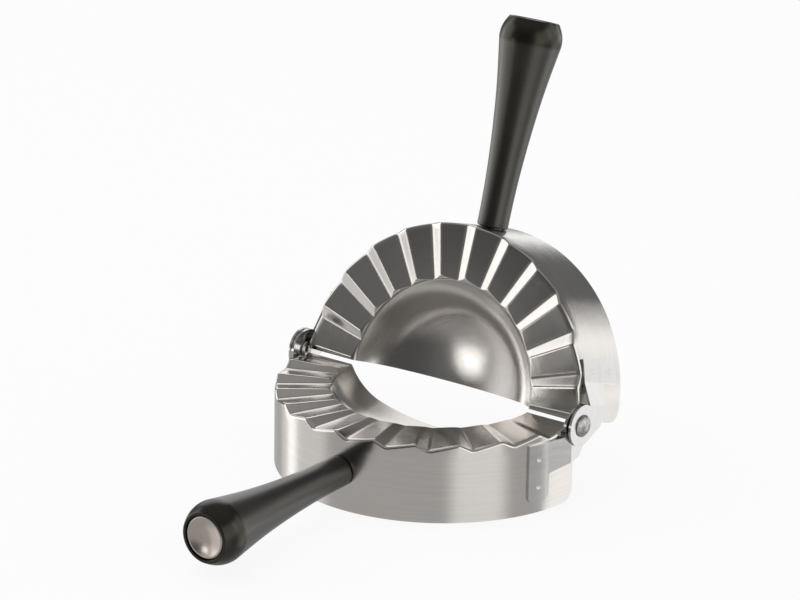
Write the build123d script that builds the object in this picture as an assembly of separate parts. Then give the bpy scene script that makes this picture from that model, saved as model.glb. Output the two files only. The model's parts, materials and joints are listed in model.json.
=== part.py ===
from build123d import *
import os
from math import acos, asin, cos, degrees, radians, sin, tan

# Empanada press: two equal pressed-steel halves, joined at both ends of a diameter by
# riveted hinge brackets, each with a flared grip. The front half lies on its cutter edge
# and the rear half stands raised. Lengths are in millimetres and angles in degrees.
# X is the hinge line, +Z is up, and z = 0 is the surface that the cutter edge rests on.
# Every piece of a half is made for the front half, at y < 0. The rear half is the same,
# turned half round about Z and then raised about the hinge line.

# Pressed shell: a dish, a fluted land round it, and the wall whose lower edge is the cutter
wall_radius = 62.5  # outside of the wall
sheet = 0.8  # thickness of the pressed sheet
land_height = 29.7  # mean height of the fluted land above the cutter edge
land_gap = 1.2  # between the two lands, pressed together
half_gap = 0.6  # each half stops this short of the hinge line
wall_corner_radius = 5.5  # of the wall's lower corners, beside the hinge
flute_count = 12  # round one half
flute_depth = 2.5  # from peak to valley, at the wall
flute_inner_share = 0.45  # how much of that depth is left at the dish
flute_fall_share = 0.3  # of one flute's width, from its peak down to its valley
valley_radius = 3.0  # at the wall
dish_radius = 43.0  # from the centre to where the lip meets the land
dish_depth = 16.0  # from the mean land down to the floor
dish_floor_angle = 16.0  # slope where the floor's arc meets the side's arc
dish_side_angle = 62.0  # slope where the side's arc meets the lip's arc
lip_radius = 3.0

# Hinge bracket: a strap welded to the wall, an arm, and a round ear about the hinge line
raised_angle = 72.0  # the rear half's, above lying flat open
bracket_sheet = 1.0  # thickness
weld_gap = 0.05  # under what is welded to the wall
strap_start_angle = 14.0  # the strap's near edge, round the wall from the hinge line
strap_end_angle = 22.2  # its far edge
strap_foot = 4.6  # its lower end, above the cutter edge
strap_corner_radius = 2.5
arm_corner_radius = 1.2
bracket_drop = 2.7  # from the hinge line down to the upper edge of strap and arm
arm_drop = 15.3  # from the hinge line down to the arm's foot, beside the strap
ear_drop = 12.8  # from the hinge line down to the ear's lower corner
ear_radius = 8.0
ear_standoff = 1.2  # from the wall out to the inner ear
inner_bend = 4.6  # where the inner ear turns into its arm, from the hinge line
outer_bend = 7.5  # where the outer ear does
weld_dimple_radius = 1.0
weld_dimple_depth = 0.25
weld_dimple_heights = (10.6, 21.5)

# Hinge rivet and the washer between the ears
rivet_radius = 2.0
rivet_clearance = 0.05  # round the rivet
hinge_play = 0.05  # between neighbours on the rivet, along it
washer_radius = 5.5
washer_thickness = 0.3
rivet_head_radius = 4.25
rivet_head_height = 2.4
rivet_tail_radius = 3.2
rivet_tail_thickness = 0.7
rivet_tail_round = 0.35
rivet_tail_bore_radius = 1.2
rivet_tail_bore_depth = 2.4

# Grip, measured outwards from the wall along its axis
grip_height = 15.6  # of the axis above the cutter edge
grip_seat_gap = 0.1  # between the wall and the grip's base
grip_length = 81.0
grip_base_radius = 6.0
grip_base_round = 0.9
grip_waist_radius = 6.6
grip_waist_at = 24.0
grip_flare_radius = 8.8
grip_flare_at = 50.0
grip_knob_radius = 12.0
grip_knob_length = 8.5  # from the thickest place to the end
grip_end_radius = 9.9  # of the flat end
grip_end_round = 0.6
shoulder_reach = 0.6  # where the knob's rounded shoulder is measured, along it
shoulder_drop = 0.22  # and how much of its drop it has made there

# Metal cap let into the grip's end, with a plug that holds it
cap_radius = 8.1
cap_thickness = 1.6
cap_clearance = 0.45  # the open ring round it
cap_recess = 0.3  # of its rim, below the grip's end
cap_bevel = 0.35
cap_dish_radius = 7.2
cap_dish_depth = 0.7
cap_plug_length = 3.0

# Screw down the grip's axis, into a boss welded to the wall
boss_radius = 4.0
boss_length = 8.0
boss_floor = 1.5  # left under its threaded hole
screw_radius = 2.0
thread_clearance = 0.05
screw_hole_clearance = 0.3
screw_tip_gap = 0.5
screw_head_radius = 3.6
screw_head_height = 2.6
screw_head_bevel = 0.35
screw_socket_width = 3.0  # across the flats of its hexagon
screw_socket_depth = 1.6
head_hole_radius = 4.4
head_hole_depth = 9.0  # below the cap
lock_washer_thickness = 0.9
lock_washer_split = 0.8
fit_gap = 0.05  # between pieces of one half that touch

# Worked out from those
flute_angle = 180 / flute_count
hinge_height = land_height + land_gap / 2
peak_offset = flute_angle * flute_fall_share / 2  # makes the halves' flutes mesh
inner_flute_depth = flute_depth * flute_inner_share
shell_top = land_height + flute_depth
clear_height = 2 * hinge_height  # well above every piece of a half lying flat
ear_step = bracket_sheet + washer_thickness + 2 * hinge_play
inner_ear = wall_radius + ear_standoff
outer_ear = inner_ear + ear_step
cap_seat = grip_length - cap_recess - cap_thickness
head_seat = cap_seat - head_hole_depth
bracket_top = hinge_height - bracket_drop
grip_knob_at = grip_length - grip_knob_length
hinge_line = Axis((0, 0, hinge_height), (1, 0, 0))
grip_axis = Plane(origin=(0, -wall_radius, grip_height), x_dir=(1, 0, 0), z_dir=(0, -1, 0))
hinge_plane = Plane(origin=(0, 0, hinge_height), x_dir=(0, 1, 0), z_dir=(1, 0, 0))


def post(radius, low, high):
    """A cylinder about Z from low to high."""
    return Pos(0, 0, low) * extrude(Circle(radius), high - low)


def pin(radius, low, high):
    """A cylinder about the hinge line from x = low to x = high."""
    return hinge_plane.offset(low) * extrude(Circle(radius), high - low)


def front_of(end, radius):
    """The space in front of y = end, as wide as a cylinder of that radius."""
    placed = (Align.CENTER, Align.MAX, Align.CENTER)
    return Pos(0, end, 0) * Box(3 * radius, 2 * radius, 2 * clear_height, align=placed)


def flute_section(radius):
    """Outline of the space over one flute at a radius, from one peak to the next."""
    reach = (radius - dish_radius) / (wall_radius - dish_radius)
    half_depth = (inner_flute_depth + (flute_depth - inner_flute_depth) * reach) / 2
    edge = radius * tan(radians(flute_angle / 2))
    valley = -radius * tan(radians(flute_angle * (0.5 - flute_fall_share)))
    outline = Polyline(
        (-edge, half_depth),
        (valley, -half_depth),
        (edge, half_depth),
        (edge, shell_top),
        (-edge, shell_top),
        close=True,
    )
    face = make_face(outline)
    lowest = face.vertices().sort_by(Axis.Y)[0]
    face = fillet(lowest, valley_radius * radius / wall_radius)
    across = Plane(origin=(radius, 0, land_height), x_dir=(0, 1, 0), z_dir=(1, 0, 0))
    return across * face


def flute_space():
    """Everything above the fluted land, and a little past both ends of the half."""
    inside = flute_section(dish_radius - 2 * lip_radius)
    outside = flute_section(wall_radius + 3 * sheet)
    one = loft([inside, outside], ruled=True)
    first = flute_angle * (flute_count - 1) / 2 + peak_offset
    places = range(-(flute_count // 2), flute_count // 2 + 1)
    return Part() + [Rot(0, 0, -first - k * flute_angle) * one for k in places]


def dish_space(offset):
    """Everything above the dish's surface, or above that surface moved down by offset."""
    floor_turn = radians(dish_floor_angle)
    side_turn = radians(dish_side_angle)
    # The arcs of the floor and the side have the radii that end the lip at dish_radius,
    # level with the flutes' inner peaks: two equations, for the width and for the rise.
    width = dish_radius - lip_radius * sin(side_turn)
    rise = dish_depth + inner_flute_depth / 2 - lip_radius * (1 - cos(side_turn))
    floor_width = sin(floor_turn)
    floor_rise = 1 - cos(floor_turn)
    side_width = sin(side_turn) - floor_width
    side_rise = cos(floor_turn) - cos(side_turn)
    scale = floor_width * side_rise - side_width * floor_rise
    floor_radius = (width * side_rise - rise * side_width) / scale
    side_radius = (rise * floor_width - width * floor_rise) / scale

    start = (0, land_height - dish_depth - offset)
    floor = JernArc(start, (1, 0), floor_radius + offset, dish_floor_angle)
    side_arc = dish_side_angle - dish_floor_angle
    side = JernArc(floor @ 1, floor % 1, side_radius + offset, side_arc)
    lip = JernArc(side @ 1, side % 1, lip_radius - offset, -dish_side_angle)
    rim = lip @ 1
    rest = Polyline(rim, (rim.X, clear_height), (0, clear_height), start)
    return revolve(Plane.XZ * make_face([floor, side, lip, rest]), Axis.Z, 360)


def wall_corners():
    """What rounding takes off the wall's two lower corners, right across the half."""
    square = Pos(-half_gap, 0) * Rectangle(
        wall_corner_radius, wall_corner_radius, align=(Align.MAX, Align.MIN)
    )
    round_off = Pos(-half_gap - wall_corner_radius, wall_corner_radius) * Circle(
        wall_corner_radius
    )
    return extrude(Plane.YZ * (square - round_off), 2 * wall_radius, both=True)


def shell():
    flutes = flute_space()
    outside = post(wall_radius, 0, shell_top) & front_of(-half_gap, wall_radius)
    outside = outside - flutes - dish_space(0)
    inside = post(wall_radius - sheet, -sheet, shell_top) & front_of(half_gap, wall_radius)
    inside = inside - Pos(0, 0, -sheet) * flutes - dish_space(sheet)
    return outside - inside - wall_corners()


def bracket_strip(ear_face, bend):
    """The bracket's section, seen from above: strap, arm and ear at their thickness."""
    inner = wall_radius + weld_gap
    near = Vector(cos(radians(strap_start_angle)), -sin(radians(strap_start_angle))) * inner
    turn = strap_end_angle - strap_start_angle
    strap = CenterArc((0, 0), inner, -strap_end_angle, turn)
    arm = Polyline(near, (ear_face, -bend), (ear_face, 2 * ear_radius))
    return make_face(
        offset(Wire([*strap.edges(), *arm.edges()]), bracket_sheet, side=Side.RIGHT)
    )


def bracket_outline():
    """The bracket's outline, seen along the hinge line."""
    inner = wall_radius + weld_gap
    near = -inner * sin(radians(strap_start_angle))
    far = -(inner + bracket_sheet) * sin(radians(strap_end_angle))
    tangent = acos(ear_radius / ear_drop)
    arm_foot = hinge_height - arm_drop
    ear_foot = hinge_height - ear_drop
    outline = Polyline(
        (far, bracket_top),
        (far, strap_foot),
        (near, strap_foot),
        (near, arm_foot),
        (0, ear_foot),
        (ear_radius * sin(tangent), hinge_height - ear_radius * cos(tangent)),
        (0, hinge_height),
        (0, bracket_top),
        close=True,
    )
    plate = make_face(outline)
    low_corners = plate.vertices().filter_by_position(Axis.Y, 0, strap_foot + fit_gap)
    plate = fillet(low_corners, strap_corner_radius)
    arm_corners = plate.vertices().filter_by_position(Axis.Y, arm_foot, ear_foot)
    plate = fillet(arm_corners, arm_corner_radius)
    return plate + Pos(0, hinge_height) * Circle(ear_radius)


def bracket(ear_face, bend):
    """A bracket at the +X end, whose ear's inner face is at x = ear_face."""
    strip = extrude(bracket_strip(ear_face, bend), clear_height)
    outline = extrude(Plane.YZ * bracket_outline(), 2 * wall_radius)
    plate = strip & outline
    plate = plate - pin(rivet_radius + rivet_clearance, 0, 2 * wall_radius)
    dent_radius = (weld_dimple_radius**2 + weld_dimple_depth**2) / (2 * weld_dimple_depth)
    reach = wall_radius + weld_gap + bracket_sheet - weld_dimple_depth + dent_radius
    middle = (strap_start_angle + strap_end_angle) / 2
    for height in weld_dimple_heights:
        plate = plate - Rot(0, 0, -middle) * Pos(reach, 0, height) * Sphere(dent_radius)
    return plate


def rivet():
    """The rivet at the +X end: domed outside, and rolled over a hollow tail inside."""
    tail_end = inner_ear - hinge_play - rivet_tail_thickness
    bore_end = tail_end + rivet_tail_bore_depth
    head_start = outer_ear + bracket_sheet + hinge_play
    head_end = head_start + rivet_head_height
    dome_radius = (rivet_head_radius**2 + rivet_head_height**2) / (2 * rivet_head_height)
    dome_turn = degrees(asin(rivet_head_radius / dome_radius))
    dome = CenterArc((0, head_end - dome_radius), dome_radius, 90, -dome_turn)
    shank = Polyline(
        dome @ 1,
        (rivet_radius, head_start),
        (rivet_radius, tail_end + rivet_tail_thickness),
        (rivet_tail_radius, tail_end + rivet_tail_thickness),
        (rivet_tail_radius, tail_end),
        (rivet_tail_bore_radius, tail_end),
        (rivet_tail_bore_radius, bore_end),
        (0, bore_end),
        (0, head_end),
    )
    across = Plane(origin=hinge_plane.origin, x_dir=(0, 1, 0), z_dir=(0, 0, -1))
    piece = revolve(across * make_face([dome, shank]), hinge_line, 360)
    return fillet(piece.edges().group_by(Axis.X)[0].sort_by(SortBy.LENGTH)[-1], rivet_tail_round)


def hinge_washer():
    """The thin washer between the two ears at the +X end."""
    start = inner_ear + bracket_sheet + hinge_play
    ring = pin(washer_radius, start, start + washer_thickness)
    return ring - pin(rivet_radius + rivet_clearance, start, start + washer_thickness)


def grip():
    """The moulded grip, about Z with its base at the wall, bored for its screw and cap."""
    end = grip_length
    base = Line((0, grip_seat_gap), (grip_base_radius, grip_seat_gap))
    side = Spline(
        (grip_base_radius, grip_seat_gap),
        (grip_waist_radius, grip_waist_at),
        (grip_flare_radius, grip_flare_at),
        (grip_knob_radius, grip_knob_at),
        tangents=[(0, 1), (0.12, 1)],
    )
    shoulder = ThreePointArc(
        (grip_knob_radius, grip_knob_at),
        (
            grip_knob_radius - (grip_knob_radius - grip_end_radius) * shoulder_drop,
            grip_knob_at + grip_knob_length * shoulder_reach,
        ),
        (grip_end_radius, end),
    )
    close = Polyline((grip_end_radius, end), (0, end), (0, grip_seat_gap))
    body = revolve(Plane.XZ * make_face([base, side, shoulder, close]), Axis.Z, 360)
    rims = body.edges().filter_by(GeomType.CIRCLE).sort_by(Axis.Z)
    body = fillet(rims[0], grip_base_round)
    body = fillet(body.edges().filter_by(GeomType.CIRCLE).sort_by(Axis.Z)[-1], grip_end_round)
    body = body - post(boss_radius + fit_gap, 0, boss_length + fit_gap)
    body = body - post(screw_radius + screw_hole_clearance, 0, head_seat)
    body = body - post(head_hole_radius, head_seat, cap_seat)
    return body - post(cap_radius + cap_clearance, cap_seat, end)


def grip_cap():
    """The dished metal cap and the plug under it, about the grip's axis."""
    rim = cap_seat + fit_gap + cap_thickness
    disc = post(cap_radius, cap_seat + fit_gap, rim)
    disc = chamfer(disc.edges().sort_by(Axis.Z)[-1], cap_bevel)
    hollow_radius = (cap_dish_radius**2 + cap_dish_depth**2) / (2 * cap_dish_depth)
    disc = disc - Pos(0, 0, rim - cap_dish_depth + hollow_radius) * Sphere(hollow_radius)
    return disc + post(head_hole_radius - fit_gap, cap_seat - cap_plug_length, cap_seat + fit_gap)


def grip_boss():
    """The threaded boss under the grip, shaped to the wall that it is welded to."""
    boss = grip_axis * post(boss_radius, -boss_radius / 2, boss_length)
    boss = boss - post(wall_radius + weld_gap, 0, clear_height)
    return boss - grip_axis * post(screw_radius + thread_clearance, boss_floor, boss_length)


def lock_washer():
    """The split spring washer under the screw's head."""
    start = head_seat + fit_gap
    ring = post(screw_head_radius, start, start + lock_washer_thickness)
    ring = ring - post(screw_radius + thread_clearance, start, start + lock_washer_thickness)
    split = Box(screw_head_radius * 2, lock_washer_split, 4 * lock_washer_thickness)
    return ring - Pos(screw_head_radius, 0, start) * split


def grip_screw():
    """The long socket-head screw that pulls the grip down onto the wall."""
    tip = boss_floor + screw_tip_gap
    under_head = head_seat + lock_washer_thickness + 2 * fit_gap
    top = under_head + screw_head_height
    head = post(screw_head_radius, under_head, top)
    head = chamfer(head.edges().sort_by(Axis.Z)[-1], screw_head_bevel)
    socket = RegularPolygon(screw_socket_width / 2, 6, major_radius=False)
    socket = Pos(0, 0, top - screw_socket_depth) * extrude(socket, screw_head_height)
    return post(screw_radius, tip, under_head) + head - socket


def other_end(piece):
    """A piece of the hinge's +X end, made for the -X end."""
    return mirror(piece, about=Plane.YZ)


def rear(piece):
    """A piece of the front half, turned into the raised rear half's."""
    return (Rot(0, 0, 180) * piece).rotate(hinge_line, raised_angle)


def write(name, piece):
    export_step(piece, "parts/" + name + ".step")


os.makedirs("parts", exist_ok=True)

half = {
    "shell": shell(),
    "grip": grip_axis * grip(),
    "grip_cap": grip_axis * grip_cap(),
    "grip_boss": grip_boss(),
    "grip_screw": grip_axis * grip_screw(),
    "lock_washer": grip_axis * lock_washer(),
}
for name, piece in half.items():
    write("front_" + name, piece)
    write("rear_" + name, rear(piece))

# At each end one half's ear lies inside the other's: the front's at +X, the rear's at -X.
inner_bracket = bracket(inner_ear, inner_bend)
outer_bracket = other_end(bracket(outer_ear, outer_bend))
write("front_bracket_right", inner_bracket)
write("front_bracket_left", outer_bracket)
write("rear_bracket_left", rear(inner_bracket))
write("rear_bracket_right", rear(outer_bracket))

for name, piece in {"hinge_rivet": rivet(), "hinge_washer": hinge_washer()}.items():
    write(name + "_right", piece)
    write(name + "_left", other_end(piece))
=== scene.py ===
"""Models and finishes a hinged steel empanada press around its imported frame, and lights it.

Lengths are in metres. X is the hinge line, +Z is up, and z = 0 is the surface that the press
stands on. Each piece of a half is modelled for the front half, which lies flat at y < 0, and
its twin is turned into the raised rear half.
"""

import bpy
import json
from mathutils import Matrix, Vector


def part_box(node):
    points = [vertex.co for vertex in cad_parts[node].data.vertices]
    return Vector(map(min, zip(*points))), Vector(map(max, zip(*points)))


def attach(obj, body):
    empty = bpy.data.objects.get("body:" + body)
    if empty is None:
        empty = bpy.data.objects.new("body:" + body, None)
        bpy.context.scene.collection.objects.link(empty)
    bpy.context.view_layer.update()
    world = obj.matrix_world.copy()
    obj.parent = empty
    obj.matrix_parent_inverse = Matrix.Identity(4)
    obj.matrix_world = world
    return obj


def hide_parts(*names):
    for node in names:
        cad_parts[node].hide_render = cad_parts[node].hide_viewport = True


bl_info = {
    "name": "Empanada press",
    "version": (1, 0, 0),
    "blender": (4, 5, 0),
    "location": "3D View > Sidebar > Empanada press",
    "description": "Models a hinged steel empanada press, its finishes and its studio",
    "category": "Add Mesh",
}

import json
from math import asin, atan, atan2, cos, degrees, hypot, pi, radians, sin, tau
from typing import NamedTuple

import bpy
from bpy.props import FloatProperty, FloatVectorProperty, IntProperty, PointerProperty
from bpy.types import NodeSocket, Operator, Panel, PropertyGroup
from mathutils import Matrix, Vector
from mathutils.geometry import interpolate_bezier

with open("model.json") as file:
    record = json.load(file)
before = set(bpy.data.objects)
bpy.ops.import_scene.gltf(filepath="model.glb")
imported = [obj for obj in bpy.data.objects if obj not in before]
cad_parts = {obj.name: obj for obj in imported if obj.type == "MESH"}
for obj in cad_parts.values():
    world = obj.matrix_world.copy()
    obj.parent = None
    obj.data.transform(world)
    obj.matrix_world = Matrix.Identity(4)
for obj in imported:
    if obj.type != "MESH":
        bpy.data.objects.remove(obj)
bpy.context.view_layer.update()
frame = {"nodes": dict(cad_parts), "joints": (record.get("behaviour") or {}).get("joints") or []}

# What the frame says of the hinge, and the turn that carries the front half to the rear one
HINGE = frame["joints"][0]
HINGE_POINT = Vector(HINGE["pos_m"])
RAISED = -radians(HINGE["range_deg"][0])
REAR_TURN = (
    Matrix.Translation(HINGE_POINT)
    @ Matrix.Rotation(RAISED, 4, "X")
    @ Matrix.Translation(-HINGE_POINT)
    @ Matrix.Rotation(pi, 4, "Z")
)
STAND = Matrix.Identity(4)

SHELL_LOW, SHELL_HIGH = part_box("front_shell")
GRIP_LOW, GRIP_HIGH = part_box("front_grip")
CAP_LOW, CAP_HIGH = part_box("front_grip_cap")
RIVET_LOW, RIVET_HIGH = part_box("hinge_rivet_right")
WASHER_LOW, WASHER_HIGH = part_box("hinge_washer_right")

# The grips' axis, pointing away from the wall, and the hinge line's right and left ends
GRIP_AXIS = Matrix.Translation((0, 0, (GRIP_LOW.z + GRIP_HIGH.z) / 2)) @ Matrix.Rotation(
    pi / 2, 4, "X"
)
RIGHT_END = Matrix.Translation((0, 0, HINGE_POINT.z)) @ Matrix.Rotation(pi / 2, 4, "Y")
LEFT_END = Matrix.Rotation(pi, 4, "Z") @ RIGHT_END

MERGE = 2e-6  # closer points than this are one point
SMOOTH_ANGLE = radians(32)


class Glow(NamedTuple):
    """A bright panel far off, in degrees: azimuths run from the front towards the right."""

    middle: float
    half_width: float
    bottom: float
    top: float
    edge: float
    strength: float


GLOWS = (
    Glow(middle=-89, half_width=4, bottom=-35, top=5, edge=5, strength=0.76),
    Glow(middle=-78, half_width=24, bottom=-35, top=30, edge=10, strength=0.35),
    Glow(middle=-75, half_width=21, bottom=-2, top=30, edge=14, strength=1.1),
    Glow(middle=-34, half_width=5, bottom=-4, top=2, edge=3, strength=2.4),
    Glow(middle=-138, half_width=18, bottom=14, top=36, edge=8, strength=1.1),
    Glow(middle=-147, half_width=15, bottom=-3, top=3.2, edge=3, strength=1.12),
    Glow(middle=8, half_width=18, bottom=-6, top=40, edge=10, strength=-0.07),
    Glow(middle=65, half_width=13, bottom=-35, top=5, edge=13, strength=0.48),
    Glow(middle=86, half_width=26, bottom=2, top=30, edge=14, strength=1.1),
    Glow(middle=130, half_width=18, bottom=14, top=30, edge=10, strength=1.1),
    Glow(middle=134.5, half_width=16.5, bottom=-35, top=9, edge=3, strength=0.84),
    Glow(middle=164.5, half_width=10.5, bottom=-13, top=9.3, edge=3, strength=1.2),
)


def length(name, description, default):
    """A length that a user may change."""
    return FloatProperty(
        name=name, description=description, default=default, unit="LENGTH", precision=5
    )


def angle(name, description, default):
    """An angle that a user may change, its default in degrees."""
    return FloatProperty(
        name=name, description=description, default=radians(default), subtype="ANGLE"
    )


def share(name, description, default):
    """A share from 0 to 1 that a user may change."""
    return FloatProperty(
        name=name, description=description, default=default, min=0, max=1, subtype="FACTOR"
    )


def amount(name, description, default):
    """A plain number that a user may change."""
    return FloatProperty(name=name, description=description, default=default)


def colour(name, description, default):
    """A linear colour that a user may change."""
    return FloatVectorProperty(
        name=name, description=description, default=default, size=3, min=0, max=1, subtype="COLOR"
    )


class ShellSizes(PropertyGroup):
    """One half's pressed sheet."""

    wall_radius: length("Wall radius", "Outside of the wall", round(-SHELL_LOW.y, 5))
    sheet: length("Sheet", "Thickness of the pressed sheet", 0.0008)
    land_height: length("Land height", "Mean height of the fluted land", 0.0297)
    half_gap: length("Half gap", "From the cut edge to the hinge line", round(-SHELL_HIGH.y, 5))
    corner_radius: length("Corner radius", "Of the wall's lower corners", 0.0055)
    rim_radius: length("Rim radius", "Where the land turns down into the wall", 0.0009)
    flute_count: IntProperty(
        name="Flutes", description="Flutes round one half", default=12, min=4, max=24
    )
    flute_depth: length("Flute depth", "From peak to valley at the wall", 0.0025)
    inner_share: share("Inner share", "How much of that depth is left at the dish", 0.45)
    fall_share: share("Fall share", "Of one flute's width, from its peak to its valley", 0.3)
    valley_blend: share("Valley blend", "Rounding beside a valley, as a share of a flute", 0.07)
    peak_blend: share("Peak blend", "Rounding beside a peak, as a share of a flute", 0.035)
    dish_radius: length("Dish radius", "From the centre to where the lip meets the land", 0.043)
    dish_depth: length("Dish depth", "From the mean land down to the floor", 0.016)
    floor_angle: angle("Floor angle", "Slope where the floor's arc meets the side's", 16)
    side_angle: angle("Side angle", "Slope where the side's arc meets the lip's", 62)
    lip_radius: length("Lip radius", "Where the dish turns out into the land", 0.003)


class GripSizes(PropertyGroup):
    """One grip and the metal cap in its end, measured outwards from the wall."""

    base: length("Base", "From the hinge line to the grip's base", round(-GRIP_HIGH.y, 5))
    end: length("End", "From the hinge line to the grip's end", round(-GRIP_LOW.y, 5))
    base_radius: length("Base radius", "Of the base, against the wall", 0.006)
    base_round: length("Base round", "Rounding of the base's edge", 0.0009)
    waist_radius: length("Waist radius", "A quarter of the way along", 0.0066)
    waist_at: length("Waist place", "From the base", 0.0239)
    flare_radius: length("Flare radius", "Where the grip widens", 0.0088)
    flare_at: length("Flare place", "From the base", 0.0499)
    knob_radius: length("Knob radius", "At the thickest place", round(GRIP_HIGH.x, 5))
    knob_length: length("Knob length", "From the thickest place to the end", 0.0085)
    knob_slope: amount("Knob slope", "How fast the grip widens just before the knob", 0.16)
    shoulder_slope: amount("Shoulder slope", "How fast the shoulder widens at first", 0.08)
    knob_blend: length("Knob blend", "Where the grain fades out before the knob", 0.002)
    end_radius: length("End radius", "Of the flat end", 0.0099)
    end_round: length("End round", "Rounding of the end's edge", 0.0006)
    bore_radius: length("Bore radius", "Of the hole that the cap sits in", 0.00855)
    cap_radius: length("Cap radius", "Of the metal cap", round(CAP_HIGH.x, 5))
    cap_recess: length("Cap recess", "Of the cap's rim below the end", 0.0003)
    cap_thickness: length("Cap thickness", "Of the cap's disc", 0.0016)
    cap_bevel: length("Cap bevel", "Rounding of the cap's rim", 0.0005)
    cap_lip: length("Cap lip", "Radius at which the hollow begins", 0.0073)
    cap_lip_round: length("Cap lip round", "Rounding of the hollow's edge", 0.0004)
    cap_slope: angle("Cap slope", "Of the hollow at its edge", 20)
    plug_radius: length("Plug radius", "Of the plug under the cap", 0.00435)
    plug_length: length("Plug length", "Of the plug under the cap", 0.003)
    screw_hole: length("Screw hole", "Radius of the bore for the screw", 0.0023)
    head_hole: length("Head hole", "Radius of the bore for the screw's head", 0.0044)
    head_depth: length("Head depth", "Of that bore, below the cap", 0.009)
    boss_hole: length("Boss hole", "Radius of the socket at the base", 0.00405)
    boss_depth: length("Boss depth", "Of the socket at the base", 0.00795)


class HingeSizes(PropertyGroup):
    """A hinge rivet and the edges of the hinge brackets, measured along the hinge line."""

    tail_end: length("Tail end", "Inner end of the rivet", round(RIVET_LOW.x, 5))
    head_end: length("Head end", "Top of the rivet's dome", round(RIVET_HIGH.x, 5))
    head_radius: length("Head radius", "Of the rivet's dome", round(RIVET_HIGH.y, 5))
    head_height: length("Head height", "Of the rivet's dome", 0.0024)
    head_brim: length("Head brim", "Straight edge under the dome", 0.00035)
    shank_radius: length("Shank radius", "Of the rivet's shank", 0.002)
    tail_radius: length("Tail radius", "Of the rolled tail", 0.0032)
    tail_thickness: length("Tail thickness", "Of the rolled tail", 0.0007)
    tail_bore_radius: length("Tail bore radius", "Of the hole in the tail", 0.0012)
    tail_bore_depth: length("Tail bore depth", "Of the hole in the tail", 0.0024)
    bracket_edge: length("Bracket edge", "Rounding of the brackets' edges", 0.00013)


class Finishes(PropertyGroup):
    """Colours and roughness of the press's materials."""

    sheet_colour: colour("Sheet steel", "Of the pressed halves", (0.62, 0.592, 0.562))
    sheet_roughness: share("Sheet roughness", "Of the pressed halves", 0.14)
    bracket_colour: colour("Bracket steel", "Of the hinge brackets", (0.62, 0.608, 0.596))
    bracket_roughness: share("Bracket roughness", "Of the hinge brackets", 0.18)
    rivet_colour: colour("Rivet steel", "Of the hinge rivets", (0.4, 0.385, 0.38))
    rivet_roughness: share("Rivet roughness", "Of the hinge rivets", 0.28)
    cap_colour: colour("Cap steel", "Of the grips' caps", (0.53, 0.465, 0.42))
    cap_roughness: share("Cap roughness", "Of the grips' caps", 0.22)
    grip_colour: colour("Grip", "Of the moulded grips", (0.0085, 0.0078, 0.0068))
    grip_roughness: share("Grip roughness", "Of the moulded grips", 0.34)
    knob_polish: share("Knob polish", "How much smoother the knob's end is", 0.08)
    washer_colour: colour("Washer", "Of the washers between the ears", (0.10, 0.10, 0.10))
    zinc_colour: colour("Zinc", "Of the screws and bosses inside the grips", (0.46, 0.46, 0.47))


class StudioSizes(PropertyGroup):
    """The camera, the floor and the lamps."""

    camera_azimuth: angle("Camera azimuth", "From the front towards the right", 35.8)
    camera_height: angle("Camera elevation", "Above the floor", 20.19)
    camera_distance: length("Camera distance", "From the point it looks at", 1.6646)
    camera_roll: angle("Camera roll", "About the line of sight", 1.0)
    camera_lens: amount("Camera lens", "Focal length in millimetres", 197.6)
    camera_target: FloatVectorProperty(
        name="Camera target",
        description="The point that the camera looks at",
        default=(-0.0139, -0.0069, 0.0639),
        unit="LENGTH",
    )
    floor_size: length("Floor size", "Side of the floor", 8.0)
    floor_albedo: share("Floor albedo", "How much light the floor gives back", 0.9)
    floor_white: share("Floor white", "How much of its look is plain white to the camera", 0.9)
    room_light: amount("Room light", "From all sides", 0.17)
    table_light: amount("Table light", "Added from below the horizon", 0.34)
    ceiling_light: amount("Ceiling light", "Added from far above the horizon", 0.2)


def deselect():
    """Leaves edit mode and deselects everything."""
    if bpy.context.mode != "OBJECT":
        bpy.ops.object.mode_set(mode="OBJECT")
    bpy.ops.object.select_all(action="DESELECT")


def pick(piece):
    """Selects one object alone and makes it active."""
    deselect()
    piece.select_set(True)
    bpy.context.view_layer.objects.active = piece


def edit_all(piece):
    """Opens a piece in edit mode with all of it selected."""
    pick(piece)
    bpy.ops.object.mode_set(mode="EDIT")
    bpy.ops.mesh.select_all(action="SELECT")


def leave_edit():
    bpy.ops.object.mode_set(mode="OBJECT")


def smooth(piece, limit=SMOOTH_ANGLE):
    pick(piece)
    bpy.ops.object.shade_smooth_by_angle(angle=limit)


def apply_modifier(piece, kind, **settings):
    """Adds a modifier with its settings and applies it."""
    pick(piece)
    modifier = piece.modifiers.new(kind.title(), kind)
    for name, value in settings.items():
        setattr(modifier, name, value)
    bpy.ops.object.modifier_apply(modifier=modifier.name)


def place(piece, matrix):
    """Moves a piece, and puts its new place into its mesh."""
    pick(piece)
    piece.matrix_world = matrix
    bpy.ops.object.transform_apply(location=True, rotation=True, scale=True)


def twin(piece, name, matrix):
    """A copy of a piece with its own mesh, moved by a matrix."""
    pick(piece)
    bpy.ops.object.duplicate()
    copy = bpy.context.active_object
    copy.name = name
    copy.data.name = name
    place(copy, matrix)
    return copy


def chain(name, points):
    """An open chain of edges through the points, drawn by extruding one vertex from each to the next."""
    deselect()
    bpy.ops.mesh.primitive_plane_add(size=0.001)
    piece = bpy.context.active_object
    piece.name = name
    piece.data.name = name
    edit_all(piece)
    bpy.ops.mesh.merge(type="CENTER")
    bpy.ops.transform.translate(value=points[0])
    for start, end in zip(points, points[1:]):
        bpy.ops.mesh.extrude_vertices_move(TRANSFORM_OT_translate={"value": end - start})
    return piece


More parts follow.
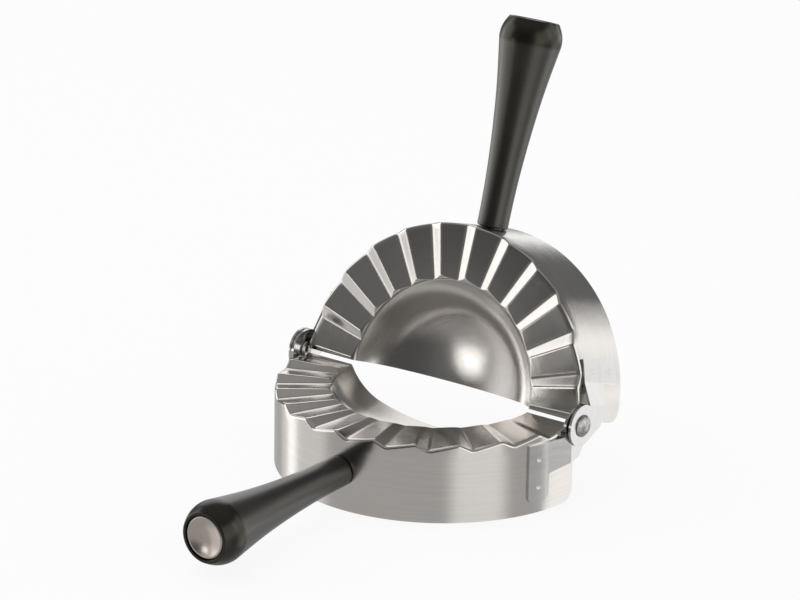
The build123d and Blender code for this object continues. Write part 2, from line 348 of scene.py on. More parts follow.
def lathe(name, outline, steps):
    """A closed turned piece: an outline of (radius, height) points spun about Z."""
    piece = chain(name, [Vector((radius, 0, height)) for radius, height in outline])
    bpy.ops.mesh.select_all(action="SELECT")
    bpy.ops.mesh.spin(steps=steps, angle=tau, center=(0, 0, 0), axis=(0, 0, 1))
    bpy.ops.mesh.select_all(action="SELECT")
    bpy.ops.mesh.remove_doubles(threshold=MERGE)
    bpy.ops.mesh.normals_make_consistent(inside=False)
    leave_edit()
    smooth(piece)
    return piece


def arc(centre, radius, start, end, steps):
    """Points (across, up) on an arc, its angles counted from straight down towards +across."""
    turns = [start + (end - start) * step / steps for step in range(steps + 1)]
    return [
        (centre[0] + radius * sin(turn), centre[1] - radius * cos(turn)) for turn in turns
    ]


def finish(piece, body, slot, material, *nodes):
    """Gives a piece its material and its body, and hides the nodes that it stands for."""
    piece.data.materials.clear()
    piece.data.materials.append(material)
    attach(piece, body)
    if nodes:
        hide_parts(*nodes)


def dress(node, material):
    """Gives a carried-over node its material."""
    for slot in frame["nodes"][node].material_slots:
        slot.material = material


class Value:
    """A number that varies over a surface: an output socket, with arithmetic that adds nodes."""

    def __init__(self, paint, socket):
        self.paint = paint
        self.socket = socket

    def math(self, operation, first, second=0.0, third=0.0):
        numbers = {0: first, 1: second, 2: third}
        return self.paint.value("ShaderNodeMath", {"operation": operation}, numbers)

    def __add__(self, other):
        return self.math("ADD", self, other)

    def __radd__(self, other):
        return self.math("ADD", other, self)

    def __sub__(self, other):
        return self.math("SUBTRACT", self, other)

    def __rsub__(self, other):
        return self.math("SUBTRACT", other, self)

    def __mul__(self, other):
        return self.math("MULTIPLY", self, other)

    def __rmul__(self, other):
        return self.math("MULTIPLY", other, self)

    def __truediv__(self, other):
        return self.math("DIVIDE", self, other)

    def __rtruediv__(self, other):
        return self.math("DIVIDE", other, self)

    def __pow__(self, other):
        return self.math("POWER", self, other)

    def __neg__(self):
        return self.math("MULTIPLY", self, -1.0)

    def __abs__(self):
        return self.math("ABSOLUTE", self)

    def turned_to(self, other):
        """The angle whose tangent is this number over the other."""
        return self.math("ARCTAN2", self, other)

    def wrapped(self, low, high):
        return self.math("WRAP", self, high, low)

    def rise(self, low, high):
        """Rises smoothly from 0 to 1 as this number goes from low to high."""
        settings = {"interpolation_type": "SMOOTHSTEP"}
        sockets = {"Value": self, "From Min": low, "From Max": high}
        return self.paint.value("ShaderNodeMapRange", settings, sockets)


class Paint:
    """A node tree that is being put together, for a material or the world."""

    def __init__(self, tree):
        self.tree = tree
        tree.nodes.clear()

    def node(self, kind, settings=None, sockets=None):
        """Adds a node: its settings first, then the values or links of its sockets."""
        made = self.tree.nodes.new(kind)
        for name, value in (settings or {}).items():
            setattr(made, name, value)
        for name, value in (sockets or {}).items():
            value = getattr(value, "socket", value)
            if isinstance(value, NodeSocket):
                self.tree.links.new(value, made.inputs[name])
            else:
                made.inputs[name].default_value = value
        return made

    def value(self, kind, settings=None, sockets=None, output=0):
        """Adds a node and wraps one of its outputs."""
        return Value(self, self.node(kind, settings, sockets).outputs[output])

    def home(self, matrix):
        """The point's place in the frame that a matrix carries to the piece, as x, y and z."""
        coordinates = self.node("ShaderNodeTexCoord").outputs["Object"]
        turned = self.node(
            "ShaderNodeMapping",
            {"vector_type": "TEXTURE"},
            {
                "Vector": coordinates,
                "Location": matrix.to_translation(),
                "Rotation": matrix.to_euler(),
            },
        )
        parts = self.node("ShaderNodeSeparateXYZ", {}, {"Vector": turned.outputs[0]})
        return [Value(self, output) for output in parts.outputs]

    def noise(self, place, scale, detail=2.0, roughness=0.5):
        """Noise from 0 to 1 at a place of three values, with that many cells in a unit."""
        vector = self.node("ShaderNodeCombineXYZ", {}, dict(enumerate(place))).outputs[0]
        sockets = {"Vector": vector, "Scale": scale, "Detail": detail, "Roughness": roughness}
        return self.value("ShaderNodeTexNoise", {}, sockets)

    def tint(self, factor, first, second):
        """A colour between two colours, by a factor."""
        sockets = {0: factor, 6: (*first, 1), 7: (*second, 1)}  # the colour mix's sockets
        return self.node("ShaderNodeMix", {"data_type": "RGBA"}, sockets).outputs[2]

    def relief(self, height, depth, under=None):
        """A normal from a height of 0 to 1 that stands for that depth."""
        sockets = {"Height": height, "Distance": depth, "Strength": 1.0}
        if under is not None:
            sockets["Normal"] = under
        return self.node("ShaderNodeBump", {}, sockets).outputs[0]

    def surface(self, sockets):
        """The principled surface and the material's output."""
        shader = self.node("ShaderNodeBsdfPrincipled", {}, sockets)
        self.node("ShaderNodeOutputMaterial", {}, {"Surface": shader.outputs[0]})


def new_material(name):
    material = bpy.data.materials.new(name)
    material.use_nodes = True
    return material, Paint(material.node_tree)


def shaded(base, factor):
    """A colour made lighter or darker by a factor."""
    return [min(channel * factor, 1.0) for channel in base]


def turned_grain(paint, home, along, across):
    """Fine lines that run round the axis of home: some in a turn, and that many in a metre across."""
    x, y, z = home
    radius = (x * x + y * y) ** 0.5
    place = (x / radius * along, y / radius * along, (radius + z) * across)
    return paint.noise(place, 1.0, detail=3.0, roughness=0.6)


def satin_steel(name, home_matrix, base, roughness, along=6.0, across=7000.0, depth=1.1e-5):
    """Brushed steel with lines round an axis, faint smears and a little dirt in the grain."""
    material, paint = new_material(name)
    home = paint.home(home_matrix)
    grain = turned_grain(paint, home, along, across)
    broad = turned_grain(paint, home, along / 3, across / 14)
    smear = paint.noise(home, 55.0, detail=3.0)
    tone = (grain * 0.35 + broad * 0.4 + smear * 0.25).rise(0.3, 0.7)
    normal = paint.relief(grain, depth)
    paint.surface(
        {
            "Base Color": paint.tint(tone, shaded(base, 0.93), shaded(base, 1.06)),
            "Metallic": 1.0,
            "Roughness": (broad * 0.5 + smear * 0.5 - 0.5) * 0.16 + (grain - 0.5) * 0.08 + roughness,
            "Normal": normal,
        }
    )
    return material


def pressed_steel(name, home_matrix, sizes, finishes):
    """The pressed halves: brushed round the wall, rubbed bright on the flutes and the edge."""
    base = finishes.sheet_colour
    material, paint = new_material(name)
    home = paint.home(home_matrix)
    x, y, z = home
    radius = (x * x + y * y) ** 0.5
    grain = turned_grain(paint, home, 4.0, 6000.0)
    broad = turned_grain(paint, home, 2.0, 900.0)
    smear = paint.noise(home, 45.0, detail=3.0)
    half_depth = sizes.flute_depth / 2
    on_land = radius.rise(sizes.dish_radius - sizes.lip_radius, sizes.dish_radius)
    rubbed = z.rise(sizes.land_height, sizes.land_height + half_depth) * on_land
    edge = 1 - z.rise(0.0002, 0.0012)
    tone = (grain * 0.3 + broad * 0.4 + smear * 0.3).rise(0.3, 0.7) + (rubbed + edge) * 0.4
    bright = (rubbed + edge) * -0.04
    paint.surface(
        {
            "Base Color": paint.tint(tone, shaded(base, 0.95), shaded(base, 1.04)),
            "Metallic": 1.0,
            "Roughness": (broad * 0.4 + smear * 0.6 - 0.5) * 0.05 + bright + finishes.sheet_roughness,
            "Normal": paint.relief(grain, 1.6e-5),
        }
    )
    return material


def bracket_steel(name, home_matrix, sizes, finishes):
    """The hinge brackets: satin plate with a fine rolled grain."""
    return satin_steel(
        name, home_matrix, finishes.bracket_colour, finishes.bracket_roughness, across=5000.0
    )


def moulded_grip(name, home_matrix, sizes, finishes):
    """Black plastic with a fine eroded grain under a satin skin, bare and smooth at the knob."""
    material, paint = new_material(name)
    x, y, z = paint.home(home_matrix)
    ring = sizes.end - sizes.base - sizes.knob_length
    knob = z.rise(ring - sizes.knob_blend, ring)
    grain = paint.noise((x, y, z), 1900.0, detail=2.0)
    cloud = paint.noise((x, y, z), 90.0, detail=3.0)
    tone = (grain * 0.5 + cloud * 0.5).rise(0.35, 0.65) * (1 - knob)
    rough = finishes.grip_roughness - finishes.knob_polish * knob
    base = finishes.grip_colour
    paint.surface(
        {
            "Base Color": paint.tint(tone, shaded(base, 0.6), shaded(base, 1.25)),
            "Roughness": (cloud - 0.5) * 0.10 + (grain - 0.5) * 0.08 + rough,
            "IOR": 1.5,
            "Specular Tint": (1.0, 0.92, 0.74, 1.0),
            "Coat Weight": 0.5 - knob * 0.5,
            "Coat Roughness": finishes.grip_roughness,
            "Coat IOR": 1.7,
            "Normal": paint.relief(grain * (1 - knob * 0.8), 3.5e-5),
        }
    )
    return material


def washer_nylon(name, finishes):
    """The washers between the ears: dull dark plastic with a mottled skin."""
    material, paint = new_material(name)
    mottle = paint.noise(paint.home(STAND), 900.0, detail=3.0)
    base = finishes.washer_colour
    paint.surface(
        {
            "Base Color": paint.tint(mottle, shaded(base, 0.75), shaded(base, 1.25)),
            "Roughness": mottle * 0.2 + 0.45,
            "Normal": paint.relief(mottle, 1e-5),
        }
    )
    return material


def zinc_plate(name, finishes):
    """The screws, washers and bosses inside the grips: dull zinc with a spangled skin."""
    material, paint = new_material(name)
    spangle = paint.noise(paint.home(STAND), 1500.0, detail=4.0)
    base = finishes.zinc_colour
    paint.surface(
        {
            "Base Color": paint.tint(spangle, shaded(base, 0.8), shaded(base, 1.2)),
            "Metallic": 1.0,
            "Roughness": spangle * 0.25 + 0.3,
            "Normal": paint.relief(spangle, 5e-6),
        }
    )
    return material


def dish_outline(sizes):
    """The sheet's upper surface at a flute's peak, as (radius, height), from the centre out."""
    lip_drop = sizes.lip_radius * (1 - cos(sizes.side_angle))
    inner_half = sizes.flute_depth * sizes.inner_share / 2
    # The floor's and the side's radii end the lip at the dish radius, level with the land.
    width = sizes.dish_radius - sizes.lip_radius * sin(sizes.side_angle)
    rise = sizes.dish_depth + inner_half - lip_drop
    floor_width, floor_rise = sin(sizes.floor_angle), 1 - cos(sizes.floor_angle)
    side_width = sin(sizes.side_angle) - floor_width
    side_rise = cos(sizes.floor_angle) - cos(sizes.side_angle)
    scale = floor_width * side_rise - side_width * floor_rise
    floor_radius = (width * side_rise - rise * side_width) / scale
    side_radius = (rise * floor_width - width * floor_rise) / scale

    floor_height = sizes.land_height - sizes.dish_depth
    floor = arc((0, floor_height + floor_radius), floor_radius, 0, sizes.floor_angle, 12)
    turn = sizes.floor_angle
    centre = (
        floor[-1][0] - side_radius * sin(turn),
        floor[-1][1] + side_radius * cos(turn),
    )
    side = arc(centre, side_radius, turn, sizes.side_angle, 16)
    land_inner = sizes.land_height + inner_half
    lip_centre = (sizes.dish_radius, land_inner - sizes.lip_radius)
    lip = arc(lip_centre, sizes.lip_radius, pi + sizes.side_angle, pi, 14)
    return floor + side[1:] + lip[1:]


def flute_half_depth(radius, sizes):
    """Half of the flutes' depth at a radius."""
    reach = (radius - sizes.dish_radius) / (sizes.wall_radius - sizes.dish_radius)
    share_there = sizes.inner_share + (1 - sizes.inner_share) * reach
    return sizes.flute_depth / 2 * share_there


def shell_outline(sizes):
    """The upper surface of the whole sheet at a flute's peak, down to the wall's lower end."""
    outline = dish_outline(sizes)
    land_end = sizes.wall_radius - sizes.rim_radius
    land_steps = 12
    for step in range(1, land_steps + 1):
        radius = sizes.dish_radius + (land_end - sizes.dish_radius) * step / land_steps
        outline.append((radius, sizes.land_height + flute_half_depth(radius, sizes)))
    rim_centre = (land_end, outline[-1][1] - sizes.rim_radius)
    outline += arc(rim_centre, sizes.rim_radius, pi, pi / 2, 6)[1:]
    below = sizes.land_height - 2 * sizes.flute_depth
    outline += [(sizes.wall_radius, below), (sizes.wall_radius, -sizes.sheet)]
    return outline


def flute_wave(turn, sizes):
    """The land's height, from 1 at a peak to -1 at a valley, at a share of one flute's turn."""
    valley = 1 - sizes.fall_share
    fall, climb = -2 / valley, 2 / sizes.fall_share
    height = 1 + fall * turn if turn < valley else climb * (turn - valley) - 1
    from_valley = abs(turn - valley)
    from_peak = min(turn, 1 - turn)
    if from_valley < sizes.valley_blend:
        spare = sizes.valley_blend - from_valley
        height += (climb - fall) * spare**2 / (4 * sizes.valley_blend)
    if from_peak < sizes.peak_blend:
        spare = sizes.peak_blend - from_peak
        height -= (climb - fall) * spare**2 / (4 * sizes.peak_blend)
    return height


def press_flutes(piece, sizes):
    """Presses the flutes into the land of a spun sheet, and into the dish's lip below it."""
    flute_turn = pi / sizes.flute_count
    first_peak = flute_turn * sizes.fall_share / 2
    foot = sizes.land_height - 1.5 * sizes.flute_depth
    for vertex in piece.data.vertices:
        x, y, z = vertex.co
        radius = hypot(x, y)
        if z < foot or radius < sizes.dish_radius - 2 * sizes.lip_radius:
            continue
        turn = ((atan2(-y, x) - first_peak) / flute_turn) % 1
        half_depth = flute_half_depth(min(radius, sizes.wall_radius), sizes)
        wave = flute_wave(turn, sizes)
        if radius < sizes.dish_radius - MERGE:
            vertex.co.z = min(z, sizes.land_height + wave * half_depth)
        else:
            vertex.co.z = z - (1 - wave) * half_depth


def close_cut():
    """Fills the open edges that a cut has left, and leaves edit mode."""
    bpy.ops.mesh.select_all(action="SELECT")
    bpy.ops.mesh.remove_doubles(threshold=MERGE)
    bpy.ops.mesh.select_all(action="DESELECT")
    bpy.ops.mesh.select_mode(type="EDGE")
    bpy.ops.mesh.select_non_manifold(
        use_wire=False, use_multi_face=False, use_non_contiguous=False, use_verts=False
    )
    bpy.ops.mesh.fill()
    bpy.ops.mesh.select_mode(type="VERT")
    leave_edit()


def cut_half(piece, sizes):
    """Cuts the sheet off at the hinge line and the table, and rounds the corner between."""
    steps = 12
    radius = sizes.corner_radius
    for step in range(steps + 1):
        turn = pi / 2 * step / steps
        outwards = Vector((0, cos(turn), -sin(turn)))
        centre = Vector((0, -sizes.half_gap - radius, radius))
        edit_all(piece)
        bpy.ops.mesh.bisect(
            plane_co=centre + outwards * radius,
            plane_no=outwards,
            clear_outer=True,
            threshold=MERGE / 4,
        )
        close_cut()


def make_shell(sizes):
    """One pressed half, lying flat: spun, fluted, given its thickness and cut to half a round."""
    columns = 373
    overrun = 5.5 * pi / 180  # past the first peak, and as far past the hinge line at the end
    first_peak = pi / sizes.flute_count * sizes.fall_share / 2
    start = first_peak - overrun
    outline = shell_outline(sizes)
    across = Vector((cos(start), -sin(start), 0))
    piece = chain("front_half_sheet", [across * radius + Vector((0, 0, z)) for radius, z in outline])
    bpy.ops.mesh.select_all(action="SELECT")
    bpy.ops.mesh.spin(
        steps=columns, angle=pi - 2 * start, center=(0, 0, 0), axis=(0, 0, 1)
    )
    bpy.ops.mesh.select_all(action="SELECT")
    bpy.ops.mesh.remove_doubles(threshold=MERGE)
    bpy.ops.mesh.normals_make_consistent(inside=False)
    leave_edit()
    press_flutes(piece, sizes)
    face_up(piece)
    apply_modifier(
        piece,
        "SOLIDIFY",
        thickness=sizes.sheet,
        offset=-1.0,
        use_even_offset=True,
        use_quality_normals=True,
    )
    cut_half(piece, sizes)
    smooth(piece)
    return piece


def face_up(piece):
    """Turns an open sheet's faces so that its upper side is the outer one."""
    lift = sum(face.normal.z * face.area for face in piece.data.polygons)
    if lift < 0:
        edit_all(piece)
        bpy.ops.mesh.flip_normals()
        leave_edit()


def grip_outline(sizes):
    """The grip's outline from its socket's floor, round outside and back down its bore."""
    grip_length = sizes.end - sizes.base
    side_start = (sizes.base_radius, sizes.base_round)
    knots = [
        side_start,
        (sizes.waist_radius, sizes.waist_at),
        (sizes.flare_radius, sizes.flare_at),
        (sizes.knob_radius, grip_length - sizes.knob_length),
    ]
    slopes = [0.0, None, None, sizes.knob_slope]
    for index in (1, 2):
        low, high = knots[index - 1], knots[index + 1]
        slopes[index] = (high[0] - low[0]) / (high[1] - low[1])
    side = [side_start]
    for (low, high), (low_slope, high_slope) in zip(
        zip(knots, knots[1:]), zip(slopes, slopes[1:])
    ):
        third = (high[1] - low[1]) / 3
        curve = interpolate_bezier(
            Vector(low),
            Vector((low[0] + low_slope * third, low[1] + third)),
            Vector((high[0] - high_slope * third, high[1] - third)),
            Vector(high),
            11,
        )
        side += [tuple(point) for point in curve[1:]]

    base_centre = (sizes.base_radius - sizes.base_round, sizes.base_round)
    base = arc(base_centre, sizes.base_round, 0, pi / 2, 5)
    shoulder = shoulder_arc(sizes, grip_length)
    end_centre = (sizes.end_radius - sizes.end_round, grip_length - sizes.end_round)
    end = arc(end_centre, sizes.end_round, pi / 2 + 0.6, pi, 5)
    cap_seat = grip_length - sizes.cap_recess - sizes.cap_thickness
    head_seat = cap_seat - sizes.head_depth
    bore = [
        (sizes.bore_radius + 0.00015, grip_length),
        (sizes.bore_radius, grip_length - 0.00015),
        (sizes.bore_radius, cap_seat),
        (sizes.head_hole, cap_seat),
        (sizes.head_hole, head_seat),
        (sizes.screw_hole, head_seat),
        (sizes.screw_hole, sizes.boss_depth),
        (sizes.boss_hole, sizes.boss_depth),
        (sizes.boss_hole, 0),
    ]
    return base + side[1:] + shoulder + end + bore + [base[0]]


def shoulder_arc(sizes, grip_length):
    """The knob's shoulder: an arc from the crease at the thickest place to the flat end's edge."""
    across = sizes.knob_radius - sizes.end_radius
    along = sizes.knob_length - sizes.end_round
    chord = hypot(across, along)
    slope = atan(sizes.shoulder_slope)
    half_turn = atan2(across, along) + slope
    radius = chord / (2 * sin(half_turn))
    centre = (
        sizes.knob_radius - radius * cos(slope),
        grip_length - sizes.knob_length + radius * sin(slope),
    )
    start = pi / 2 - slope
    return arc(centre, radius, start, start + 2 * half_turn, 12)[1:-1]


def cap_outline(sizes):
    """The dished cap and its plug, from the plug's end round to the middle of the hollow."""
    rim = sizes.end - sizes.base - sizes.cap_recess
    seat = rim - sizes.cap_thickness
    bevel, slope = sizes.cap_bevel, sizes.cap_slope
    lip_centre = (sizes.cap_lip, rim - sizes.cap_lip_round)
    lip = arc(lip_centre, sizes.cap_lip_round, pi, pi + slope, 4)
    hollow = lip[-1][0] / sin(slope)
    hollow_centre = (0, lip[-1][1] + hollow * cos(slope))
    return [
        (0, seat - sizes.plug_length),
        (sizes.plug_radius, seat - sizes.plug_length),
        (sizes.plug_radius, seat),
        (sizes.cap_radius, seat),
        *arc((sizes.cap_radius - bevel, rim - bevel), bevel, pi / 2, pi, 8),
        *lip,
        *arc(hollow_centre, hollow, slope, 0, 16)[1:],
    ]


def rivet_outline(sizes):
    """The rivet from its tail's bore to the top of its dome, along the hinge line."""
    brim = sizes.head_brim
    dome_height = sizes.head_height - brim
    dome_radius = (sizes.head_radius**2 + dome_height**2) / (2 * dome_height)
    slope = asin(sizes.head_radius / dome_radius)
    head_start = sizes.head_end - sizes.head_height
    tail = sizes.tail_end
    tail_round = sizes.tail_thickness / 2
    curl_centre = (sizes.tail_radius - tail_round, tail + tail_round)
    return [
        (0, tail + sizes.tail_bore_depth),
        (sizes.tail_bore_radius, tail + sizes.tail_bore_depth - 0.0003),
        (sizes.tail_bore_radius, tail + 0.0003),
        (sizes.tail_bore_radius + 0.0003, tail),
        *arc(curl_centre, tail_round, 0, pi, 8),
        (sizes.shank_radius, tail + sizes.tail_thickness),
        (sizes.shank_radius, head_start),
        (sizes.head_radius - 0.0001, head_start),
        (sizes.head_radius, head_start + 0.0001),
        *arc((0, sizes.head_end - dome_radius), dome_radius, pi - slope, pi, 18),
    ]


def edged_copy(node, name, edge):
    """A copy of a node's plate with its doubles merged and its edges slightly rounded."""
    piece = bpy.data.objects.new(name, frame["nodes"][node].data.copy())
    piece.data.name = name
    bpy.context.scene.collection.objects.link(piece)
    pick(piece)
    bpy.ops.mesh.customdata_custom_splitnormals_clear()
    edit_all(piece)
    bpy.ops.mesh.remove_doubles(threshold=MERGE)
    bpy.ops.mesh.dissolve_limited(angle_limit=radians(0.5))
    leave_edit()
    apply_modifier(
        piece,
        "BEVEL",
        width=edge,
        segments=2,
        limit_method="ANGLE",
        angle_limit=radians(38),
        use_clamp_overlap=True,
    )
    smooth(piece)
    apply_modifier(piece, "WEIGHTED_NORMAL", keep_sharp=True)
    return piece


class PRESS_OT_sheets(Operator):
    """Spin, flute and cut the two pressed halves"""

    bl_idname = "press.sheets"
    bl_label = "Pressed halves"

    def execute(self, context):
        sizes = context.scene.press_shell
        finishes = context.scene.press_finishes
        front = make_shell(sizes)
        rear = twin(front, "rear_half_sheet", REAR_TURN)
        front_steel = pressed_steel("front_sheet_steel", STAND, sizes, finishes)
        rear_steel = pressed_steel("rear_sheet_steel", REAR_TURN, sizes, finishes)
        finish(front, "front_half", "pressed_steel", front_steel, "front_shell")
        finish(rear, "rear_half", "pressed_steel", rear_steel, "rear_shell")
        return {"FINISHED"}


class PRESS_OT_brackets(Operator):
    """Round the edges of the four hinge brackets and brush them"""

    bl_idname = "press.brackets"
    bl_label = "Hinge brackets"

    def execute(self, context):
        edge = context.scene.press_hinge.bracket_edge
        finishes = context.scene.press_finishes
        sizes = context.scene.press_shell
        for half, matrix in (("front", STAND), ("rear", REAR_TURN)):
            steel = bracket_steel(half + "_bracket_steel", matrix, sizes, finishes)
            for side in ("left", "right"):
                node = half + "_bracket_" + side
                piece = edged_copy(node, node + "_plate", edge)
                finish(piece, half + "_half", "bracket_steel", steel, node)
        return {"FINISHED"}


class PRESS_OT_rivets(Operator):
    """Turn the two domed hinge rivets with their rolled tails"""

    bl_idname = "press.rivets"
    bl_label = "Hinge rivets"

    def execute(self, context):
        finishes = context.scene.press_finishes
        rivet = lathe("hinge_rivet_turned_right", rivet_outline(context.scene.press_hinge), 64)
        left = twin(rivet, "hinge_rivet_turned_left", LEFT_END)
        place(rivet, RIGHT_END)
        for piece, side, end in ((rivet, "right", RIGHT_END), (left, "left", LEFT_END)):
            steel = satin_steel(
                "rivet_steel_" + side,
                end,
                finishes.rivet_colour,
                finishes.rivet_roughness,
                along=1.5,
                across=6000.0,
                depth=6e-6,
            )
            finish(piece, "front_half", "rivet_steel", steel, "hinge_rivet_" + side)
        return {"FINISHED"}


class PRESS_OT_washers(Operator):
    """Finish the thin washers between the hinge's ears"""

    bl_idname = "press.washers"
    bl_label = "Hinge washers"

    def execute(self, context):
        nylon = washer_nylon("washer_nylon", context.scene.press_finishes)
        for side in ("left", "right"):
            dress("hinge_washer_" + side, nylon)
        return {"FINISHED"}


class PRESS_OT_grips(Operator):
    """Turn the two flared grips"""

    bl_idname = "press.grips"
    bl_label = "Grips"

    def execute(self, context):
        finishes = context.scene.press_finishes
        sizes = context.scene.press_grip
        front = lathe("front_grip_moulded", grip_outline(sizes), 96)
        seat = GRIP_AXIS @ Matrix.Translation((0, 0, sizes.base))
        rear_seat = REAR_TURN @ seat
        rear = twin(front, "rear_grip_moulded", rear_seat)
        place(front, seat)
        front_plastic = moulded_grip("front_grip_plastic", seat, sizes, finishes)
        rear_plastic = moulded_grip("rear_grip_plastic", rear_seat, sizes, finishes)
        finish(front, "front_half", "grip_plastic", front_plastic, "front_grip")
        finish(rear, "rear_half", "grip_plastic", rear_plastic, "rear_grip")
        return {"FINISHED"}


class PRESS_OT_caps(Operator):
    """Turn the dished metal caps in the grips' ends"""

    bl_idname = "press.caps"
    bl_label = "Grip caps"

    def execute(self, context):
        finishes = context.scene.press_finishes
        sizes = context.scene.press_grip
        front = lathe("front_cap_turned", cap_outline(sizes), 96)
        seat = GRIP_AXIS @ Matrix.Translation((0, 0, sizes.base))
        rear_seat = REAR_TURN @ seat
        rear = twin(front, "rear_cap_turned", rear_seat)
        place(front, seat)
        for piece, half, matrix in ((front, "front", seat), (rear, "rear", rear_seat)):
            steel = satin_steel(
                half + "_cap_steel",
                matrix,
                finishes.cap_colour,
                finishes.cap_roughness,
                along=3.0,
                across=5000.0,
                depth=8e-6,
            )
            finish(piece, half + "_half", "cap_steel", steel, half + "_grip_cap")
        return {"FINISHED"}


class PRESS_OT_fixings(Operator):
    """Finish the screws, lock washers and bosses inside the grips"""

    bl_idname = "press.fixings"
    bl_label = "Grip fixings"

    def execute(self, context):
        zinc = zinc_plate("zinc_plate", context.scene.press_finishes)
        for half in ("front", "rear"):
            for piece in ("grip_boss", "grip_screw", "lock_washer"):
                dress(half + "_" + piece, zinc)
        return {"FINISHED"}


def aim(item, place_at, target):
    """Puts a lamp or camera at a place, looking at a target."""
    item.location = place_at
    item.rotation_euler = (Vector(target) - Vector(place_at)).to_track_quat("-Z", "Y").to_euler()


def softbox(name, place_at, target, width, height, power):
    """A rectangular lamp that neither the camera nor reflections see."""
    lamp = bpy.data.lights.new(name, "AREA")
    lamp.shape = "RECTANGLE"
    lamp.size = width
    lamp.size_y = height
    lamp.energy = power
    item = bpy.data.objects.new(name, lamp)
    bpy.context.scene.collection.objects.link(item)
    aim(item, place_at, target)
    item.visible_camera = False
    item.visible_glossy = False
    return item


def direction_from(azimuth, elevation):
    """A unit vector: azimuth from the front towards the right, elevation above the floor."""
    return Vector(
        (sin(azimuth) * cos(elevation), -cos(azimuth) * cos(elevation), sin(elevation))
    )


def lay_floor(studio):
    """A pale floor that the camera sees nearly white, and that reflections look through."""
    deselect()
    bpy.ops.mesh.primitive_plane_add(size=studio.floor_size)
    floor = bpy.context.active_object
    floor.name = "floor"
    material, paint = new_material("floor_paper")
    rays = paint.node("ShaderNodeLightPath")
    tone = [studio.floor_albedo] * 3 + [1]
    paper = paint.node("ShaderNodeBsdfDiffuse", {}, {"Color": tone})
    white = paint.node("ShaderNodeEmission", {}, {"Color": (1, 1, 1, 1), "Strength": 1.0})
    seen = Value(paint, rays.outputs["Is Camera Ray"]) * studio.floor_white
    lit = paint.node("ShaderNodeMixShader", {}, {0: seen, 1: paper.outputs[0], 2: white.outputs[0]})
    clear = paint.node("ShaderNodeBsdfTransparent")
    mirrored = rays.outputs["Is Glossy Ray"]
    mixed = paint.node("ShaderNodeMixShader", {}, {0: mirrored, 1: lit.outputs[0], 2: clear.outputs[0]})
    paint.node("ShaderNodeOutputMaterial", {}, {"Surface": mixed.outputs[0]})
    floor.data.materials.append(material)


def light_world(studio):
    """White for the camera, and for the light a dim room with soft bright panels round it."""
    world = bpy.data.worlds.new("studio")
    bpy.context.scene.world = world
    world.use_nodes = True
    paint = Paint(world.node_tree)
    x, y, z = paint.home(STAND)
    azimuth = x.turned_to(-y)
    elevation = z.math("ARCSINE", z)
    below = 1 - elevation.rise(radians(-12), radians(-3))
    above = elevation.rise(radians(35), radians(70))
    level = below * studio.table_light + above * studio.ceiling_light + studio.room_light
    for glow in GLOWS:
        middle, half_width, bottom, top, edge = map(radians, glow[:5])
        away = abs((azimuth - middle).wrapped(-pi, pi))
        beside = 1 - away.rise(half_width, half_width + edge)
        over = elevation.rise(bottom - edge, bottom) - elevation.rise(top, top + edge)
        level = level + beside * over * glow.strength
    rays = paint.node("ShaderNodeLightPath")
    room = paint.node("ShaderNodeBackground", {}, {"Color": (1, 1, 1, 1), "Strength": level})
    white = paint.node("ShaderNodeBackground", {}, {"Color": (1, 1, 1, 1), "Strength": 1.0})
    mixed = paint.node(
        "ShaderNodeMixShader",
        {},
        {0: rays.outputs["Is Camera Ray"], 1: room.outputs[0], 2: white.outputs[0]},
    )
    paint.node("ShaderNodeOutputWorld", {}, {"Surface": mixed.outputs[0]})


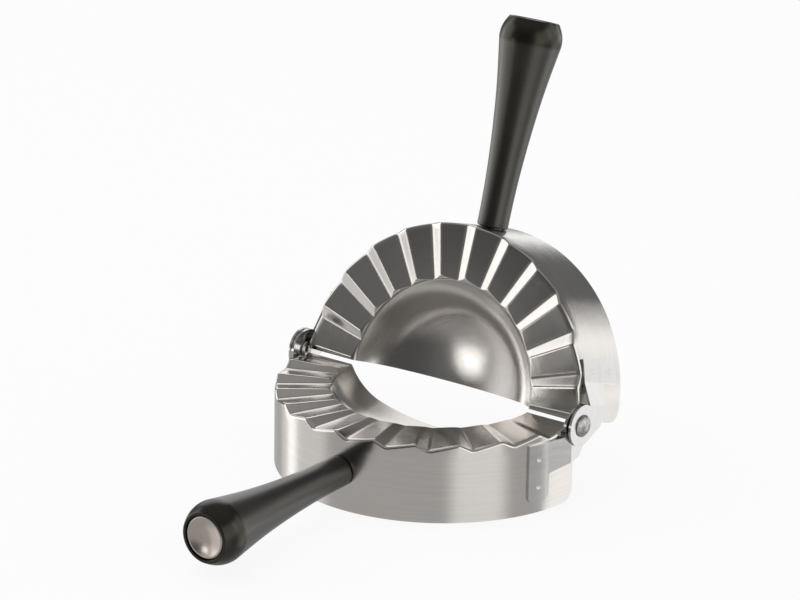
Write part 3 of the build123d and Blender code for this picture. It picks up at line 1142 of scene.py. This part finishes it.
def place_camera(studio):
    data = bpy.data.cameras.new("camera")
    data.sensor_width = 36.0
    data.lens = studio.camera_lens
    data.clip_end = 20.0
    item = bpy.data.objects.new("camera", data)
    bpy.context.scene.collection.objects.link(item)
    target = Vector(studio.camera_target)
    towards = direction_from(studio.camera_azimuth, studio.camera_height)
    facing = (-towards).to_track_quat("-Z", "Y").to_matrix().to_4x4()
    roll = Matrix.Rotation(studio.camera_roll, 4, "Z")
    item.matrix_world = (
        Matrix.Translation(target + towards * studio.camera_distance) @ facing @ roll
    )
    bpy.context.scene.camera = item


class PRESS_OT_studio(Operator):
    """Lay the pale floor and set the lamps and the camera"""

    bl_idname = "press.studio"
    bl_label = "Studio"

    def execute(self, context):
        studio = context.scene.press_studio
        middle = Vector((0, 0, 0.04))
        lay_floor(studio)
        light_world(studio)
        softbox("softbox_above", (-0.3, -0.1, 1.2), middle, 1.8, 1.5, 9.5)
        place_camera(studio)
        context.scene.view_settings.view_transform = "Standard"
        return {"FINISHED"}


class PRESS_PT_panel(Panel):
    """Lists the steps that build the press"""

    bl_idname = "PRESS_PT_panel"
    bl_label = "Empanada press"
    bl_space_type = "VIEW_3D"
    bl_region_type = "UI"
    bl_category = "Empanada press"

    def draw(self, context):
        for step in STEPS:
            self.layout.operator(step.bl_idname)


STEPS = (
    PRESS_OT_sheets,
    PRESS_OT_brackets,
    PRESS_OT_rivets,
    PRESS_OT_washers,
    PRESS_OT_grips,
    PRESS_OT_caps,
    PRESS_OT_fixings,
    PRESS_OT_studio,
)
GROUPS = {
    "press_shell": ShellSizes,
    "press_grip": GripSizes,
    "press_hinge": HingeSizes,
    "press_finishes": Finishes,
    "press_studio": StudioSizes,
}


def register():
    for group in GROUPS.values():
        bpy.utils.register_class(group)
    for name, group in GROUPS.items():
        setattr(bpy.types.Scene, name, PointerProperty(type=group))
    for item in (*STEPS, PRESS_PT_panel):
        bpy.utils.register_class(item)


def unregister():
    for item in (PRESS_PT_panel, *reversed(STEPS)):
        bpy.utils.unregister_class(item)
    for name, group in reversed(GROUPS.items()):
        delattr(bpy.types.Scene, name)
        bpy.utils.unregister_class(group)


def main():
    register()
    bpy.ops.press.sheets()
    bpy.ops.press.brackets()
    bpy.ops.press.rivets()
    bpy.ops.press.washers()
    bpy.ops.press.grips()
    bpy.ops.press.caps()
    bpy.ops.press.fixings()
    bpy.ops.press.studio()


if __name__ == "__main__":
    main()
